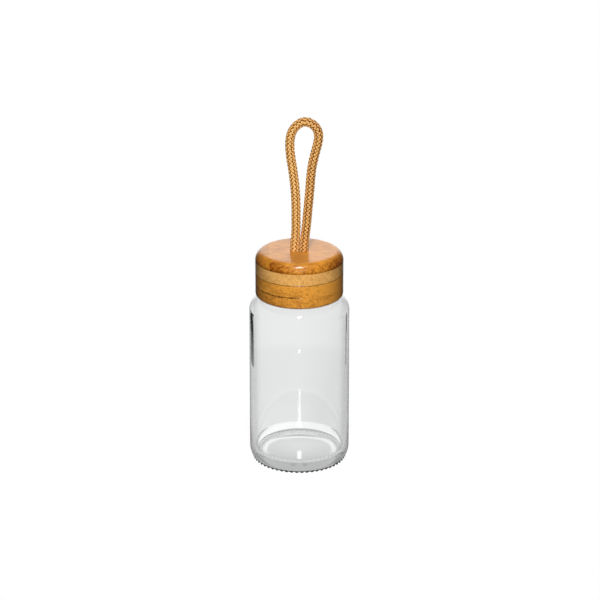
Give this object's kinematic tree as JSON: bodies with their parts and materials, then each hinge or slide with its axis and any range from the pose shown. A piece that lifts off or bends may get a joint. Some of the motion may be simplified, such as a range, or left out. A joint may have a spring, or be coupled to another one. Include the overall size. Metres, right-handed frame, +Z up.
{
  "type": "screw-cap glass bottle with carry loop",
  "caption": "Small clear round glass bottle with a short threaded neck, a laminated bamboo screw cap and a tall braided cord loop to carry it by.",
  "frame": {"origin": "centre of the base, on the surface that the bottle stands on", "axes": "+Z up along the bottle's axis; the cord loop stands in the XZ plane, and +Y points away from the pictured side"},
  "size_m": [0.06, 0.06, 0.2137],
  "materials": {
    "clear_glass": "clear moulded soda glass, smooth and glossy",
    "bamboo_top": "dark amber end grain under gloss lacquer",
    "bamboo_pale": "pale straight-grained bamboo, lacquered",
    "bamboo_lower": "amber streaked bamboo, lacquered",
    "liner_plastic": "white moulded polypropylene, satin",
    "seal_silicone": "translucent white silicone, matte",
    "braided_cord": "golden tan herringbone braid, dry and slightly glossy"
  },
  "bodies": {
    "bottle": {"glass_bottle": "clear_glass"},
    "gasket": {"seal_gasket": "seal_silicone"},
    "cap": {"cap_ply_bottom": "bamboo_lower", "cap_ply_third": "bamboo_lower", "cap_ply_second": "bamboo_pale", "cap_ply_top": "bamboo_top", "threaded_liner": "liner_plastic", "cord_knot": "braided_cord"},
    "loop": {"cord_loop": "braided_cord"}
  },
  "joints": [
    {"name": "cap_rise", "type": "slide", "parent": "bottle", "child": "gasket", "axis": [0, 0, 1], "range_m": [0, 0.018]},
    {"name": "cap_turn", "type": "hinge", "parent": "gasket", "child": "cap", "pos_m": [0, 0, 0.118], "axis": [0, 0, 1], "range_deg": [0, 1080]},
    {"name": "loop_swing", "type": "hinge", "parent": "cap", "child": "loop", "pos_m": [0, 0, 0.13502], "axis": [1, 0, 0], "range_deg": [-80, 80], "stiffness_Nm_per_rad": 0.01}
  ],
  "couplings": [
    {"joint": "cap_rise", "follows": "cap_turn", "m_per_rad": 0.00095493}
  ]
}
